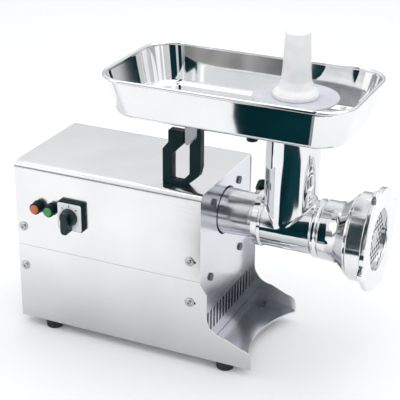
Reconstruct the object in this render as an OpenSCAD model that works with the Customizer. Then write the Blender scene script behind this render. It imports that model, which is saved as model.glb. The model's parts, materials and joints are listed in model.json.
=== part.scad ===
// Bench-top electric meat grinder with a sheet steel casing, a pull-off cast feed head,
// a loading tray and a food pusher.
// X runs forward along the feed screw, Z is up, and the switch and buttons are on the -Y side.

/* [Casing] */
// Length of the casing, rear panel to front plate
casing_l = 305; // [303:1:307]
// Width of the casing
casing_w = 187; // [184:1:190]
// Height of the casing top above the table
casing_top = 273; // [272:1:276]
// Height of the seam between the lower pan and the upper cover
seam_z = 138; // [132:1:144]
// Reach of the side wings in front of the casing
wing_reach = 81; // [76:1:86]
// Height of the rubber feet
foot_h = 14; // [12:1:16]

/* [Feed head] */
// Height of the feed screw axis
axis_z = 215; // [214:0.5:216]
// Distance of the neck axis from the rear panel
neck_x = 404.5; // [402:0.5:407]
// Outer radius of the neck
neck_r = 38.8; // [38:0.1:39.2]
// Outer radius of the barrel beside the neck
barrel_r = 40; // [39.5:0.5:41]
// Radius of the opening in the ring nut
outlet_r = 43.5; // [42:0.5:44.5]

/* [Tray and pusher] */
// Height of the tray rim
rim_z = 427.5; // [424:0.5:431]
// Depth of the tray
tray_d = 60; // [58:1:61]
// Length of the tray over its rim
tray_l = 373; // [368:1:376]
// Width of the tray over its rim
tray_w = 207; // [202:1:212]
// Height of the top of the pusher
pusher_top = 500; // [490:1:510]

/* [Controls] */
// Distance of the rotary switch from the rear panel
switch_x = 97.5; // [94:0.5:101]
// Height of the rotary switch
switch_z = 204.5; // [202:0.5:207]
// How far the switch lever stands out of the casing side
lever_reach = 27; // [25:1:29]
// Height of the two push buttons
button_z = 207; // [204:0.5:210]

/* [Hidden] */
$fn = 64;
eps = 0.01;
// Radial play of a shaft in its bearing
run_gap = 0.05;
sheet = 1.5;
fold_r = 10;
side_y = casing_w / 2;
front_plate_x = casing_l - sheet;
pan_z = foot_h;
wing_tip = casing_l + wing_reach;
front_x = 538;
rear_x = -14;
mid_x = (front_x + rear_x) / 2;
mid_y = (tray_w / 2 - side_y - lever_reach) / 2;

// Wing outline
wing_back = casing_l + 10;
wing_top = 55;
wing_fillet = 29;
wing_nose = 15;
apron_dip = 29;
apron_r = (side_y * side_y + apron_dip * apron_dip) / (2 * apron_dip);

// Gear train: tooth counts, modules and axis heights
out_teeth = 44;
mid_pinion_teeth = 14;
mid_teeth = 50;
motor_teeth = 14;
out_m = 2;
mid_m = 1.5;
mid_z = axis_z - out_m * (out_teeth + mid_pinion_teeth) / 2;
motor_z = mid_z - mid_m * (mid_teeth + motor_teeth) / 2;
gearbox_wall = 5;
gearbox_rear = 214;
gearbox_front = 284;
cover_front = 292;
web_front = 249;

// Feed head stations along X
spigot_x0 = 301;
spigot_x1 = 357.5;
spigot_r = 26;
socket_x1 = 357;
chamber_r = 33;
screw_r = 32.3;
throat_r = 28;
mouth_r = 56;
mouth_x0 = 504;
mouth_x1 = 528;
recess_r = 49.4;
cutter_plate_r = 49.1;
cutter_plate_x0 = 521;
cutter_plate_x1 = 531;
nut_x0 = 505.3;
flange_x0 = 530;
thread_r = 56.3;
drive_square = 18;

// Tray heights and the neck's top
tray_z = rim_z - tray_d;
tray_x = 326;
neck_top = tray_z + 6;
collar_r = 34;

// ---------- helpers ----------

// Moves the drawing so that the origin is under the middle of the whole machine
module placed() {
    translate([-mid_x, -mid_y, 0]) children();
}

// A round bar along X, from x0 to x1
module bar_x(x0, x1, r, y = 0, z = 0) {
    translate([x0, y, z]) rotate([0, 90, 0]) cylinder(h = x1 - x0, r = r);
}

// A plain tube along X
module tube_x(x0, x1, r_out, r_in, y = 0, z = 0) {
    difference() {
        bar_x(x0, x1, r_out, y, z);
        bar_x(x0 - 1, x1 + 1, r_in, y, z);
    }
}

// A shape turned about an axis along X, from points of [radius, x]
module turned_x(points, z = 0) {
    translate([0, 0, z]) rotate([0, 90, 0]) rotate_extrude() polygon(points);
}

// A round bar along Y that ends at y1 and is h long towards -Y
module bar_out(x, y1, z, h, r) {
    translate([x, y1, z]) rotate([90, 0, 0]) cylinder(h = h, r = r);
}

// An X-Z outline made into a plate from y0 to y1
module slab_y(y0, y1) {
    translate([0, y1, 0]) rotate([90, 0, 0]) linear_extrude(y1 - y0) children();
}

// A Y-Z outline made into a plate from x0 to x1; the outline's x is Y and its y is Z
module slab_x(x0, x1) {
    translate([x0, 0, 0]) rotate([90, 0, 90]) linear_extrude(x1 - x0) children();
}

// A rectangle with round corners, centred
module round_rect(w, h, r) {
    square([w - 2 * r, h], center = true);
    square([w, h - 2 * r], center = true);
    for (sx = [-1, 1]) {
        for (sy = [-1, 1]) {
            translate([sx * (w / 2 - r), sy * (h / 2 - r)]) circle(r);
        }
    }
}

// A box between two corners
module box(a, b) {
    translate(a) cube([b[0] - a[0], b[1] - a[1], b[2] - a[2]]);
}

// A slotted pan-head screw: head outside, shank inwards along -Z
module slotted_screw(head_r, head_h, shank_r, shank_l) {
    difference() {
        cylinder(h = head_h, r = head_r);
        translate([-head_r, -0.6, head_h - 1]) cube([2 * head_r, 1.2, 2]);
    }
    translate([0, 0, -shank_l]) cylinder(h = shank_l + eps, r = shank_r);
}

// ---------- gears ----------

press_angle = 25;
function inv(a) = tan(a) * 180 / PI - a;
function base_r(n, m) = m * n / 2 * cos(press_angle);

// Half the angle of a tooth at radius r, thinned by the backlash
function half_angle(n, m, r) =
    90 / n - 1.5 * 14 / n * 0.35 + inv(press_angle) - inv(acos(min(1, base_r(n, m) / r)));

// One flank from root to tip, on the side s, of the tooth at angle a
function flank(n, m, a, s) = [
    for (k = s > 0 ? [3:-1:0] : [0:1:3])
        let (lo = max(base_r(n, m) + 0.01, m * n / 2 - 1.1 * m))
        let (r = lo + (m * n / 2 + 0.9 * m - lo) * k / 3)
        let (t = a + s * half_angle(n, m, r))
        [r * cos(t), r * sin(t)]
];

// A toothed outline with a tooth at the angle start
module gear_outline(n, m, start) {
    circle(m * n / 2 - 1.15 * m);
    for (i = [0:n - 1]) {
        let (a = start + i * 360 / n)
        polygon(concat([[0, 0]], flank(n, m, a, -1), flank(n, m, a, 1)));
    }
}

// A spur gear about an axis along X
module gear_x(x0, x1, z, n, m, start, bore) {
    difference() {
        slab_x(x0, x1) translate([0, z]) gear_outline(n, m, start);
        bar_x(x0 - 1, x1 + 1, bore, 0, z);
    }
}

// A ball bearing as one ring with a groove on each face
module bearing_x(x0, x1, r_out, r_in, z) {
    groove = (r_out + r_in) / 2;
    difference() {
        tube_x(x0, x1, r_out, r_in, 0, z);
        for (x = [x0 - 1, x1 - 1]) tube_x(x, x + 2, groove + 2, groove - 2, 0, z);
    }
}

// ---------- casing ----------

// Side outline of the lower pan with its wing
module wing_outline() {
    nose_z = wing_top - 12;
    fillet_x = wing_back + wing_fillet;
    difference() {
        translate([0, pan_z]) square([wing_tip, seam_z - pan_z]);
        polygon([[casing_l, seam_z + 1], [casing_l, seam_z - 2], [wing_back, seam_z - 18],
            [wing_back, wing_top + wing_fillet], [fillet_x, wing_top],
            [wing_tip - wing_nose, nose_z], [wing_tip + 1, nose_z], [wing_tip + 1, seam_z + 1]]);
        translate([fillet_x, wing_top + wing_fillet]) circle(wing_fillet);
        difference() {
            translate([wing_tip - wing_nose, nose_z - wing_nose]) square(wing_nose + 1);
            translate([wing_tip - wing_nose, nose_z - wing_nose]) circle(wing_nose);
        }
    }
}

// The round-nosed cut at the front edge of the floor and apron
module apron_cut(z0, z1) {
    translate([casing_l + wing_reach - apron_dip + apron_r, 0, z0])
        cylinder(h = z1 - z0, r = apron_r, $fn = 96);
}

foot_inset = 14;
foot_xy = [for (x = [50, 340], s = [-1, 1]) [x, s * (side_y - foot_inset)]];
side_screw_x = [11, casing_l - 9];

module base_pan() placed() color("gainsboro") {
    difference() {
        union() {
            for (y = [-side_y, side_y - sheet]) slab_y(y, y + sheet) wing_outline();
            box([0, -side_y, pan_z], [wing_tip, side_y, pan_z + sheet]);
            box([0, -side_y, pan_z], [sheet, side_y, seam_z]);
            // Inner strips that back the seam with the cover
            for (y = [-side_y + sheet, side_y - 2 * sheet]) {
                box([sheet, y, seam_z - 14], [casing_l - 14, y + sheet, seam_z + 12]);
            }
        }
        apron_cut(pan_z - 1, pan_z + sheet + 1);
        for (p = foot_xy) translate([p[0], p[1], 0]) cylinder(h = 40, r = 2.1);
        for (x = side_screw_x) bar_out(x, side_y + 1, 103, casing_w + 2, 2.1);
        bar_x(-1, 3, 7.6, gland_yz[0], gland_yz[1]);
    }
}

// Round-topped U of the upper cover, as a Y-Z outline, grown inwards by g
module cover_outline(g) {
    w = casing_w - 2 * g;
    r = fold_r - g;
    top = casing_top - g;
    translate([-w / 2, seam_z + 0.4 - (g > 0 ? 2 : 0)]) square([w, top - r - seam_z]);
    translate([-w / 2 + r, seam_z + 10]) square([w - 2 * r, top - seam_z - 10]);
    for (s = [-1, 1]) translate([s * (w / 2 - r), top - r]) circle(r);
}

module casing_cover() placed() color("gainsboro") {
    difference() {
        slab_x(0, casing_l) difference() {
            cover_outline(0);
            cover_outline(sheet);
        }
        // Panel holes for the switch, the two buttons and the side screws
        bar_out(switch_x, -side_y + 3, switch_z, 6, 17);
        for (x = button_x) bar_out(x, -side_y + 3, button_z, 6, 8);
        for (x = side_screw_x) bar_out(x, side_y + 1, 169, casing_w + 2, 2.1);
        for (p = handle_screw_xy) translate([p[0], p[1], casing_top - 4]) cylinder(h = 6, r = 2.6);
    }
}

// Outline of a panel that closes the casing at one end
module end_outline(z0) {
    g = sheet + 0.2;
    w = casing_w - 2 * g;
    r = fold_r - g;
    top = casing_top - g;
    translate([-w / 2, z0]) square([w, top - r - z0]);
    translate([-w / 2 + r, z0]) square([w - 2 * r, top - z0]);
    for (s = [-1, 1]) translate([s * (w / 2 - r), top - r]) circle(r);
}

gland_yz = [-48, 60];

module rear_panel() placed() color("gainsboro") {
    difference() {
        slab_x(sheet, 2 * sheet) difference() {
            intersection() {
                end_outline(seam_z - 30);
                translate([-side_y + 2 * sheet + 0.2, 0]) square([casing_w - 4 * sheet - 0.4, 400]);
            }
            // Air slots for the motor
            for (i = [-7:7]) translate([i * 9 - 2, 200]) square([4, 40]);
        }
    }
}

front_screw_yz = [[-46, 245], [46, 245], [-55, 130], [55, 130]];
vent_pitch = 11.4;

module front_plate() placed() color("lightgray") {
    difference() {
        slab_x(front_plate_x - 1, front_plate_x + 0.5) difference() {
            intersection() {
                end_outline(pan_z + sheet + 0.1);
                translate([-side_y + sheet + 0.2, 0]) square([casing_w - 2 * sheet - 0.4, 400]);
            }
            for (i = [-7.5:1:7.5]) translate([i * vent_pitch, 56]) round_rect(5, 36, 2.4);
        }
        bar_x(casing_l - 10, casing_l + 10, 36.5, 0, axis_z);
        for (p = front_screw_yz) bar_x(casing_l - 10, casing_l + 10, 3.2, p[0], p[1]);
    }
}

apron_screw_xy = [[332, -80], [332, 80]];

module front_apron() placed() color("silver") {
    z = pan_z + sheet + 0.1;
    y = side_y - sheet - 0.4;
    difference() {
        union() {
            box([casing_l, -y, z], [wing_tip - 0.5, y, z + 1.2]);
            // Folded lip against each wing
            for (s = [-1, 1]) {
                box([casing_l + 12, s > 0 ? y - 1.2 : -y, z], [wing_tip - 6, s > 0 ? y : -y + 1.2, z + 9]);
            }
        }
        apron_cut(z - 1, z + 3);
        for (p = apron_screw_xy) translate([p[0], p[1], z - 1]) cylinder(h = 4, r = 2.2);
    }
}

module apron_screws() placed() color("silver") {
    for (p = apron_screw_xy) {
        translate([p[0], p[1], pan_z + sheet + 1.3]) slotted_screw(4.5, 2.6, 2.1, 1.15);
    }
}

module rubber_feet() placed() color([0.08, 0.08, 0.09]) {
    for (p = foot_xy) translate([p[0], p[1], 0]) difference() {
        rotate_extrude() polygon([[0, 0], [12, 0], [13, 1.5], [14, foot_h], [0, foot_h]]);
        translate([0, 0, -1]) cylinder(h = 7, r = 5.5);
        cylinder(h = 40, r = 2.1);
    }
}

module foot_screws() placed() color("silver") {
    for (p = foot_xy) translate([p[0], p[1], 0]) {
        translate([0, 0, 3]) cylinder(h = 3, r = 4.8);
        translate([0, 0, 6]) cylinder(h = foot_h - 6 + sheet, r = 2.05);
    }
}

module casing_screws() placed() color("silver") {
    for (s = [-1, 1]) {
        for (x = side_screw_x) {
            for (z = [103, 169]) {
                translate([x, s * side_y, z]) rotate([-s * 90, 0, 0]) slotted_screw(6.3, 3, 2.05, sheet);
            }
        }
    }
}

module front_plate_screws() placed() color("silver") {
    for (p = front_screw_yz) {
        translate([front_plate_x + 0.5, p[0], p[1]]) rotate([0, 90, 0]) slotted_screw(6, 2.4, 2.9, 9);
    }
}

// ---------- handle ----------

handle_y0 = -70;
handle_y1 = -56;
handle_x0 = 234;
handle_screw_xy = [[241, (handle_y0 + handle_y1) / 2], [257, (handle_y0 + handle_y1) / 2]];
handle_bottom = casing_top;
handle_top = tray_z - 0.3;

module handle_window() {
    polygon([[249, 279], [263, 279], [276, 293], [276, 338], [287, 350], [287, 390], [267, 390],
        [267, 337], [255, 325], [249, 319]]);
}

module carry_handle() placed() color([0.07, 0.08, 0.09]) {
    z = handle_bottom;
    difference() {
        slab_y(handle_y0, handle_y1) difference() {
            union() {
                polygon([[handle_x0, z], [270, z], [290, z + 19], [293, z + 30], [293, handle_top],
                    [270, handle_top], [270, z + 82], [243, z + 82], [243, z + 62], [handle_x0, z + 51]]);
                translate([handle_x0 + 9, z + 53]) circle(9);
            }
            handle_window();
        }
        for (p = handle_screw_xy) translate([p[0], p[1], z - 1]) cylinder(h = 5, r = 2.2);
    }
}

module handle_screws() placed() color("silver") {
    for (p = handle_screw_xy) translate([p[0], p[1], casing_top - sheet]) {
        translate([0, 0, -3]) cylinder(h = 3, r = 4.5);
        cylinder(h = 5, r = 2.15);
    }
}

module tray_rest_plate() placed() color("silver") {
    slab_y(handle_y0 + 3, handle_y1 - 3) {
        polygon([[267.3, 338.5], [270, 333], [275.7, 338.6], [286.7, 350.6], [286.7, handle_top],
            [267.3, handle_top]]);
    }
}

// ---------- head socket and gearbox ----------

socket_bolt_r = 40;
socket_bolt_yz = [for (a = [45:90:315]) socket_bolt_r * [cos(a), sin(a)] + [0, axis_z]];

module head_socket() placed() color("silver") {
    difference() {
        union() {
            turned_x([[0, cover_front + 0.1], [35.8, cover_front + 0.1], [35.8, casing_l + 3],
                [34.3, casing_l + 4], [32.6, socket_x1 - 8], [33.4, socket_x1 - 7],
                [33.4, socket_x1], [0, socket_x1]], axis_z);
            bar_x(cover_front + 0.1, cover_front + 8, 45, 0, axis_z);
            // Boss for the lock screw
            translate([345, 0, axis_z]) rotate([lock_angle - 90, 0, 0]) cylinder(h = 39, r = 8);
        }
        bar_x(cover_front - 1, socket_x1 + 1, spigot_r + 0.05, 0, axis_z);
        translate([345, 0, axis_z]) rotate([lock_angle - 90, 0, 0]) cylinder(h = 50, r = 4 + run_gap);
        for (p = socket_bolt_yz) bar_x(cover_front - 1, cover_front + 8.1, 2.6, p[0], p[1]);
    }
}

module socket_bolts() placed() color("silver") {
    for (p = socket_bolt_yz) {
        bar_x(cover_front + 8, cover_front + 10, 3.8, p[0], p[1]);
        bar_x(cover_front - 7.5, cover_front + 8 + eps, 2.5, p[0], p[1]);
    }
}

// Outline round the three gear axes, grown by g
module gearbox_outline(g) {
    translate([0, axis_z]) circle(48 + g);
    translate([0, mid_z]) circle(41 + g);
    translate([0, motor_z]) circle(16 + g);
    translate([-41 - g, mid_z]) square([2 * (41 + g), axis_z - mid_z]);
    translate([-16 - g, motor_z]) square([2 * (16 + g), mid_z - motor_z]);
}

gearbox_bolt_yz = [[-49, 180], [49, 180], [-34, 258], [34, 258], [-30, 115], [30, 115]];

module gearbox_lugs() {
    for (p = gearbox_bolt_yz) translate(p) circle(8);
}

module gearbox_housing() placed() color([0.6, 0.62, 0.64]) {
    difference() {
        slab_x(gearbox_rear, gearbox_front) {
            gearbox_outline(gearbox_wall);
            gearbox_lugs();
        }
        slab_x(gearbox_rear + 9, gearbox_front + 1) gearbox_outline(0);
        bar_x(gearbox_rear - 1, gearbox_front, 11.5, 0, motor_z);
        bar_x(gearbox_rear + 2, gearbox_front, 15, 0, mid_z);
        for (p = gearbox_bolt_yz) bar_x(gearbox_front - 16, gearbox_front + 1, 2.6, p[0], p[1]);
    }
    // Inner post that carries the rear bearing of the output shaft
    difference() {
        bar_x(gearbox_rear + 8, web_front, 30, 0, axis_z + 6);
        bar_x(web_front - 8, web_front + 1, 22, 0, axis_z);
        bar_x(gearbox_rear + 9, web_front + 1, 12.4, 0, axis_z);
        bar_x(gearbox_rear, web_front - 9.5, 41.5, 0, mid_z);
    }
}

module gearbox_cover() placed() color([0.6, 0.62, 0.64]) {
    difference() {
        union() {
            slab_x(gearbox_front + 0.1, cover_front) translate([0, 177]) round_rect(134, 172, 14);
            for (p = front_screw_yz) bar_x(gearbox_front + 0.1, front_plate_x - 1.1, 9, p[0], p[1]);
        }
        bar_x(gearbox_front - 1, cover_front + 1, 26, 0, axis_z);
        bar_x(gearbox_front - 1, cover_front - 1.5, 15, 0, mid_z);
        for (p = gearbox_bolt_yz) bar_x(gearbox_front - 1, cover_front + 1, 2.7, p[0], p[1]);
        for (p = front_screw_yz) bar_x(cover_front - 1, casing_l, 3, p[0], p[1]);
        for (p = socket_bolt_yz) bar_x(gearbox_front - 1, cover_front + 1, 2.6, p[0], p[1]);
    }
}

module gearbox_bolts() placed() color("silver") {
    for (p = gearbox_bolt_yz) {
        bar_x(cover_front, cover_front + 4, 4.2, p[0], p[1]);
        bar_x(gearbox_front - 15, cover_front + eps, 2.5, p[0], p[1]);
    }
}

// ---------- motor ----------

motor_r = 62;
core_x = [92, 168];
bell_x = [52, 64];

module motor_housing() placed() color([0.35, 0.38, 0.42]) {
    tube_x(bell_x[1], 200, motor_r - 3, motor_r - 6, 0, motor_z);
    // Cooling ribs along the shell
    for (i = [0:23]) {
        translate([bell_x[1] + 6, 0, motor_z]) rotate([i * 15, 0, 0])
            translate([0, -0.9, motor_r - 4]) cube([122, 1.8, 4]);
    }
}

module motor_end_bell() placed() color([0.35, 0.38, 0.42]) {
    difference() {
        bar_x(bell_x[0], bell_x[1] - 0.05, motor_r - 3, 0, motor_z);
        bar_x(bell_x[0] + 4, bell_x[1] + 1, 17.5, 0, motor_z);
        bar_x(bell_x[0] - 1, bell_x[1] + 1, 9, 0, motor_z);
        for (i = [0:5]) {
            translate([0, 0, motor_z]) rotate([i * 60, 0, 0]) bar_x(bell_x[0] - 1, bell_x[1] + 1, 9, 0, 38);
        }
    }
}

module motor_front_bell() placed() color([0.35, 0.38, 0.42]) {
    difference() {
        bar_x(200.05, gearbox_rear - 0.05, motor_r - 3, 0, motor_z);
        bar_x(199, 210, 17.5, 0, motor_z);
        bar_x(199, gearbox_rear + 1, 9, 0, motor_z);
    }
}

module motor_cradle() placed() color("dimgray") {
    difference() {
        for (x = [76, 180]) {
            box([x, -52, pan_z + sheet], [x + 4, 52, motor_z - 30]);
            box([x - 10, -60, pan_z + sheet], [x + 14, 60, pan_z + sheet + 4]);
        }
        bar_x(60, 200, motor_r + 0.2, 0, motor_z);
    }
}

module stator_core() placed() color([0.4, 0.4, 0.42]) {
    tube_x(core_x[0], core_x[1], motor_r - 6.1, 38, 0, motor_z);
}

module stator_windings() placed() color([0.72, 0.38, 0.16]) {
    for (x = [core_x[0] - 16.1, core_x[1] + 0.1]) {
        translate([x, 0, 0]) turned_x([[40, 2], [43, 0], [50, 0], [53, 3], [53, 13], [50, 16],
            [43, 16], [40, 14]], motor_z);
    }
}

module rotor_core() placed() color([0.5, 0.5, 0.52]) {
    tube_x(core_x[0] - 4, core_x[1] + 4, 37.4, 9, 0, motor_z);
}

module motor_shaft() placed() color("silver") {
    bar_x(26, 242, 7.5, 0, motor_z);
    bar_x(core_x[0] - 8, core_x[1] + 8, 9, 0, motor_z);
}

module motor_pinion() placed() color("silver") {
    gear_x(224, 240, motor_z, motor_teeth, mid_m, 90, 7.5);
}

module motor_bearings() placed() color("lightgray") {
    bearing_x(bell_x[0] + 4, bell_x[1], 17.5, 7.5 + run_gap, motor_z);
    bearing_x(200.05, 210, 17.5, 7.5 + run_gap, motor_z);
}

module cooling_fan() placed() color([0.15, 0.15, 0.16]) {
    difference() {
        union() {
            bar_x(28, 44, 14, 0, motor_z);
            bar_x(42, 44, 30, 0, motor_z);
            for (i = [0:8]) {
                translate([29, 0, motor_z]) rotate([i * 40, 0, 0]) translate([0, -1, 10]) cube([14, 2, 38]);
            }
        }
        bar_x(20, 50, 7.5, 0, motor_z);
    }
}

module fan_cowl() placed() color([0.35, 0.38, 0.42]) {
    difference() {
        bar_x(22, bell_x[0] - 0.05, 56, 0, motor_z);
        bar_x(24, bell_x[0] + 1, 54, 0, motor_z);
        for (r = [16, 30, 44]) {
            for (i = [0:5]) {
                translate([0, 0, motor_z]) rotate([i * 60 + r, 0, 0]) bar_x(20, 26, 5, 0, r);
            }
        }
    }
}

// ---------- gear train ----------

module intermediate_shaft() placed() color("silver") {
    bar_x(gearbox_rear + 2.5, cover_front - 2, 8, 0, mid_z);
}

module intermediate_gear() placed() color("silver") {
    gear_x(226, 238, mid_z, mid_teeth, mid_m, -90 + 180 / mid_teeth, 8);
}

module intermediate_pinion() placed() color("silver") {
    gear_x(251, 275, mid_z, mid_pinion_teeth, out_m, 90, 8);
}

module intermediate_bearings() placed() color("lightgray") {
    bearing_x(gearbox_rear + 2.5, gearbox_rear + 9, 15, 8 + run_gap, mid_z);
    bearing_x(gearbox_front + 0.1, cover_front - 1.6, 15, 8 + run_gap, mid_z);
}

module output_gear() placed() color("silver") {
    gear_x(252, 274, axis_z, out_teeth, out_m, -90 + 180 / out_teeth, 15);
}

module output_shaft() placed() color("silver") {
    difference() {
        union() {
            bar_x(web_front - 8, 252, 12, 0, axis_z);
            bar_x(251, 294, 15, 0, axis_z);
            bar_x(294, 336, 17, 0, axis_z);
        }
        box([312, -drive_square / 2, axis_z - drive_square / 2],
            [340, drive_square / 2, axis_z + drive_square / 2]);
    }
}

module output_bearings() placed() color("lightgray") {
    bearing_x(web_front - 8, web_front, 22, 12 + run_gap, axis_z);
    bearing_x(gearbox_front + 0.1, cover_front, 26, 15 + run_gap, axis_z);
}

module shaft_seal() placed() color([0.1, 0.1, 0.1]) {
    tube_x(294.2, 299.5, 26, 17 + run_gap, 0, axis_z);
}

// ---------- feed head ----------

lock_angle = 35;

module barrel_head() placed() color("gainsboro") {
    difference() {
        union() {
            turned_x([[0, spigot_x0], [spigot_r - 1, spigot_x0], [spigot_r, spigot_x0 + 1],
                [spigot_r, spigot_x1], [41.5, spigot_x1], [42, spigot_x1 + 1], [42, 368],
                [barrel_r, 371], [barrel_r, 444], [43, 449], [43, 453], [41.5, 455], [41.5, 457],
                [43.5, 459], [44, 476], [47, 486], [54, 496], [60, 502], [60, mouth_x0],
                [mouth_r, mouth_x0], [mouth_r, mouth_x1], [0, mouth_x1]], axis_z);
            translate([neck_x, 0, axis_z]) cylinder(h = tray_z - 0.3 - axis_z, r = neck_r);
            translate([neck_x, 0, tray_z - 9.3]) cylinder(h = 9, r = 47);
            translate([neck_x, 0, tray_z - 1]) cylinder(h = neck_top - tray_z + 1, r = collar_r);
            // Raised rib down the rear of the neck
            box([neck_x - neck_r - 5, -9, axis_z + barrel_r - 3], [neck_x - 20, 9, tray_z - 9]);
        }
        bar_x(spigot_x0 - 1, 350, 18, 0, axis_z);
        bar_x(349, 366.1, 16, 0, axis_z);
        bar_x(366, 492, chamber_r, 0, axis_z);
        turned_x([[0, 491], [chamber_r, 491], [chamber_r, 492], [recess_r, 505], [recess_r, mouth_x1 + 1],
            [0, mouth_x1 + 1]], axis_z);
        translate([neck_x, 0, axis_z]) cylinder(h = neck_top - axis_z + 1, r = throat_r);
        bar_out(524, 60, axis_z, 14, 2.5);
    }
}

module screw_bush() placed() color([0.72, 0.55, 0.25]) {
    tube_x(349.5, 366, 16, 12 + run_gap, 0, axis_z);
}

// A pin in the far side of the mouth that stops the grinding plate turning
module plate_key_pin() placed() color("silver") {
    bar_out(524, 55.5, axis_z, 8.5, 2.5);
}

module lock_knob() placed() color([0.07, 0.07, 0.08]) {
    translate([345, 0, axis_z]) rotate([lock_angle - 90, 0, 0]) {
        translate([0, 0, spigot_r + 0.4]) cylinder(h = 18, r = 4);
        translate([0, 0, 39.6]) cylinder(h = 4, r = 6);
        difference() {
            translate([0, 0, 43]) cylinder(h = 15, r = 10.5);
            for (i = [0:5]) rotate(i * 60) translate([12.2, 0, 42]) cylinder(h = 18, r = 2.6);
        }
    }
}

// The turning feed screw: square tail, journal, helical flight, square and pilot for the cutters
module feed_screw() placed() color("silver") {
    box([314, -8.9, axis_z - 8.9], [340, 8.9, axis_z + 8.9]);
    bar_x(340 - eps, 368, 12, 0, axis_z);
    bar_x(368 - eps, 372, 22, 0, axis_z);
    bar_x(372 - eps, 509, 13, 0, axis_z);
    box([509 - eps, -9, axis_z - 9], [520.4, 9, axis_z + 9]);
    bar_x(520.4 - eps, cutter_plate_x1 - 0.2, 8, 0, axis_z);
    translate([372, 0, axis_z]) rotate([90, 0, 90])
        linear_extrude(height = 133, twist = -900, slices = 75) flight_section();
}

// A two-start flight is a bar through the centre that turns as it runs forward
module flight_section() {
    difference() {
        circle(screw_r, $fn = 32);
        for (s = [-1, 1]) translate([0, s * (screw_r + 8)]) square([80, 2 * screw_r], center = true);
    }
}

module knife() placed() color("silver") {
    difference() {
        union() {
            bar_x(511, 520.6, 17, 0, axis_z);
            for (i = [0:3]) {
                translate([511, 0, axis_z]) rotate([i * 90, 0, 0])
                    translate([0, -5, 10]) cube([9.6, 11, 36]);
            }
        }
        box([505, -9.05, axis_z - 9.05], [525, 9.05, axis_z + 9.05]);
    }
}

plate_hole_r = 3;
plate_hole_pitch = 9.2;

module grinding_plate() placed() color("silver") {
    difference() {
        bar_x(cutter_plate_x0, cutter_plate_x1, cutter_plate_r, 0, axis_z);
        bar_x(cutter_plate_x0 - 1, cutter_plate_x1 + 1, 8.05, 0, axis_z);
        for (i = [-5:5]) {
            for (j = [-5:5]) {
                let (y = (i + (abs(j) % 2) / 2) * plate_hole_pitch)
                let (z = j * plate_hole_pitch * 0.866)
                if (norm([y, z]) > 15 && norm([y, z]) < 40)
                    bar_x(cutter_plate_x0 - 1, cutter_plate_x1 + 1, plate_hole_r, y, axis_z + z);
            }
        }
        box([cutter_plate_x0 - 1, 46.2, axis_z - 2.9], [cutter_plate_x1 + 1, 60, axis_z + 2.9]);
    }
}

nut_r = 64;
nut_lobe_r = 84;

module ring_nut() placed() color("gainsboro") {
    difference() {
        union() {
            turned_x([[0, nut_x0], [nut_r - 1, nut_x0], [nut_r, nut_x0 + 1], [nut_r, flange_x0],
                [74, flange_x0], [75, flange_x0 + 1], [75, front_x - 1], [74, front_x],
                [0, front_x]], axis_z);
            for (a = [17:90:287]) {
                translate([0, 0, axis_z]) rotate([a, 0, 0])
                    bar_x(flange_x0, front_x, 13, nut_lobe_r - 13, 0);
            }
        }
        bar_x(nut_x0 - 1, cutter_plate_x1 + 0.1, thread_r, 0, axis_z);
        bar_x(nut_x0 - 1, front_x + 1, outlet_r, 0, axis_z);
    }
}

// ---------- tray and pusher ----------

tray_corner = 46;
tray_taper = 14;
tray_sheet = 1.5;

// A round-cornered slab that narrows downwards, used for the outside and the inside of the tray
module tray_block(g, z0) {
    hull() {
        translate([tray_x, 0, rim_z]) linear_extrude(0.5 + g)
            round_rect(tray_l - 6 - 2 * g, tray_w - 6 - 2 * g, tray_corner - g, $fn = 48);
        translate([tray_x, 0, z0 + 9]) linear_extrude(0.5)
            round_rect(tray_l - 3 - 2 * tray_taper - 2 * g, tray_w - 3 - 2 * tray_taper - 2 * g,
                tray_corner - 4 - g, $fn = 48);
        translate([tray_x, 0, z0]) linear_extrude(0.5)
            round_rect(tray_l - 18 - 2 * tray_taper - 2 * g, tray_w - 18 - 2 * tray_taper - 2 * g,
                tray_corner - 10 - g, $fn = 48);
    }
}

module tray() placed() color("gainsboro") {
    difference() {
        tray_block(0, tray_z);
        tray_block(tray_sheet, tray_z + tray_sheet);
        translate([neck_x, 0, tray_z - 5]) cylinder(h = 20, r = collar_r + 0.4);
    }
    // Rolled rim
    translate([tray_x, 0, rim_z - 5]) linear_extrude(5) difference() {
        round_rect(tray_l, tray_w, tray_corner);
        round_rect(tray_l - 7, tray_w - 7, tray_corner - 3.5);
    }
    // Short collar round the neck
    translate([neck_x, 0, tray_z]) difference() {
        cylinder(h = 6, r = collar_r + 2);
        translate([0, 0, -1]) cylinder(h = 8, r = collar_r + 0.4);
    }
}

module tray_stud() placed() color([0.07, 0.07, 0.08]) {
    for (s = [-1, 1]) translate([370, s * 70, tray_z - 8]) cylinder(h = 8, r = 8);
}

guard_z = 404;

module pusher_handle() placed() color("white") {
    translate([neck_x, 0, guard_z + 3]) rotate_extrude() polygon([[0, 0], [31, 0], [32.5, 1.5],
        [32.5, 5], [30.5, 9], [25, 15], [21.5, 23], [19.8, 35], [19, 55], [18, 78],
        [17.5, pusher_top - guard_z - 7], [15.5, pusher_top - guard_z - 4], [0, pusher_top - guard_z - 3]]);
}

module pusher_guard() placed() color("whitesmoke") {
    translate([neck_x, 0, guard_z]) cylinder(h = 3, r = 61);
}

module pusher_pestle() placed() color("white") {
    translate([neck_x, 0, 0]) rotate_extrude() polygon([[0, 262], [23, 262], [25, 264],
        [25, neck_top + 0.1], [31, neck_top + 0.1], [31, guard_z], [0, guard_z]]);
}

// ---------- controls ----------

button_x = [39.5, 62.3];
collar_h = 12;
cap_r = 6.9;
panel_y = -side_y;

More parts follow.
